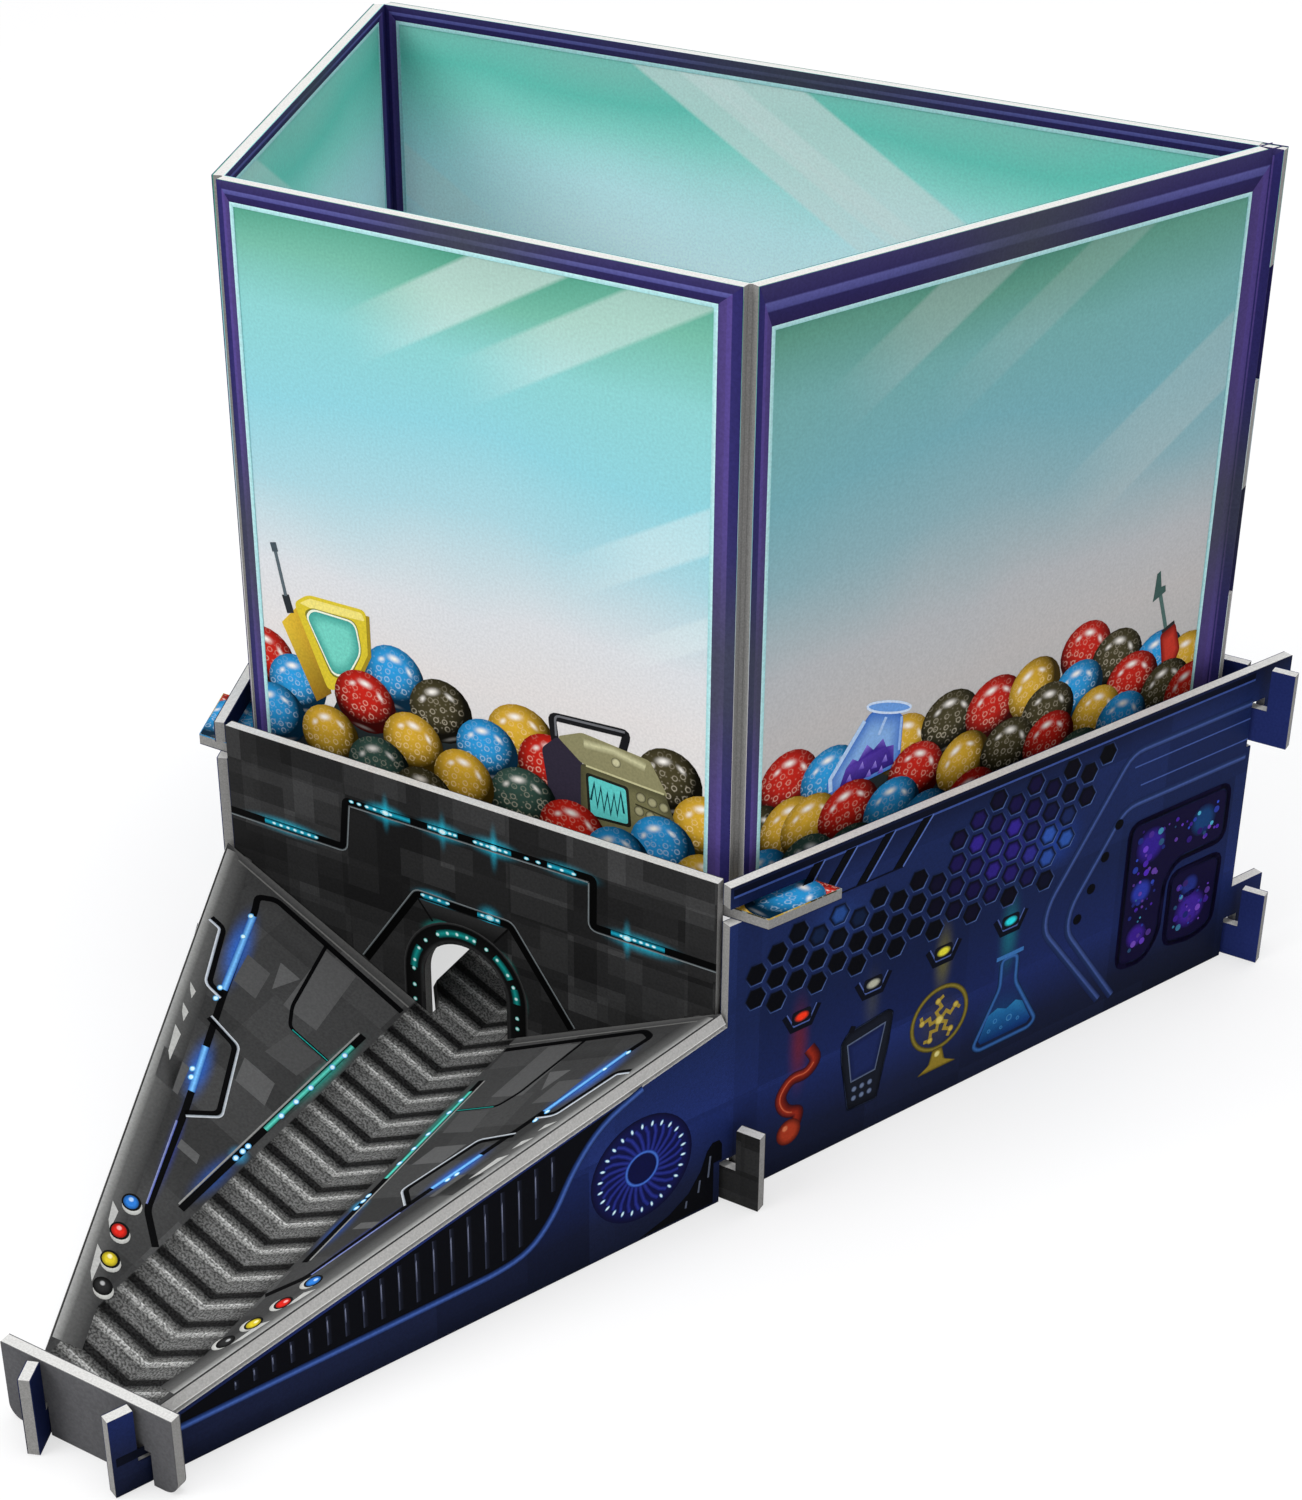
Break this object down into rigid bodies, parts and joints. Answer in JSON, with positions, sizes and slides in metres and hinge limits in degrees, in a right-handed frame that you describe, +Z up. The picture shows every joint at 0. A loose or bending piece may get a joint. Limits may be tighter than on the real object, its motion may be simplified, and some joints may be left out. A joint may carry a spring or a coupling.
{
  "type": "slot-together marble dispenser",
  "caption": "Slot-together printed greyboard marble dispenser: a wedge-shaped base with a V ramp, an arch and a stop plate, under an open wrap-around tank.",
  "frame": {"origin": "on the surface that the base stands on, under the middle of the whole outline", "axes": "+Y from the stop plate towards the back plate, along the length; +X to the right seen from the stop plate; +Z up"},
  "size_m": [0.2056, 0.2232, 0.1558],
  "materials": {
    "greyboard": "matte cut grey board",
    "torn_fibre": "matte uncut board fibres",
    "stop_print": "coated printed paper, satin",
    "left_side_print": "coated printed paper, satin",
    "right_side_print": "coated printed paper, satin",
    "dark_lining": "coated printed paper, satin",
    "arch_print": "coated printed paper, satin",
    "back_print": "coated printed paper, satin",
    "ramp_print": "coated printed paper, satin",
    "egg_print": "coated printed paper, satin",
    "tank_outer_print": "coated printed paper, satin",
    "tank_inner_print": "coated printed paper, satin"
  },
  "bodies": {
    "base": {"left_side_board": "greyboard", "left_side_outer_print": "left_side_print", "left_side_inner_print": "dark_lining", "right_side_board": "greyboard", "right_side_outer_print": "right_side_print", "right_side_inner_print": "dark_lining", "arch_board": "greyboard", "arch_front_print": "arch_print", "arch_back_print": "dark_lining", "back_board": "greyboard", "back_inner_print": "dark_lining", "back_outer_print": "back_print", "ramp_left_board": "greyboard", "ramp_left_print": "ramp_print", "ramp_left_under_print": "dark_lining", "ramp_right_board": "greyboard", "ramp_right_print": "ramp_print", "ramp_right_under_print": "dark_lining", "ramp_crease_web": "torn_fibre", "floor_board": "greyboard", "floor_top_print": "egg_print", "floor_under_print": "dark_lining"},
    "stop": {"stop_board": "greyboard", "stop_front_print": "stop_print", "stop_back_print": "stop_print"},
    "tank": {"tank_front_board": "greyboard", "tank_front_outer_print": "tank_outer_print", "tank_front_inner_print": "tank_inner_print", "tank_right_board": "greyboard", "tank_right_outer_print": "tank_outer_print", "tank_right_inner_print": "tank_inner_print", "tank_left_board": "greyboard", "tank_left_outer_print": "tank_outer_print", "tank_left_inner_print": "tank_inner_print", "tank_back_board": "greyboard", "tank_back_inner_print": "tank_inner_print", "tank_back_outer_print": "tank_outer_print", "tank_web_front_right": "torn_fibre", "tank_web_front_left": "torn_fibre", "tank_web_rear_left": "torn_fibre"}
  },
  "joints": [
    {"name": "tank_lift", "type": "slide", "parent": "base", "child": "tank", "axis": [0, 0, 1], "range_m": [0, 0.04]},
    {"name": "stop_lift", "type": "slide", "parent": "base", "child": "stop", "axis": [0, 0, 1], "range_m": [0, 0.02]}
  ]
}
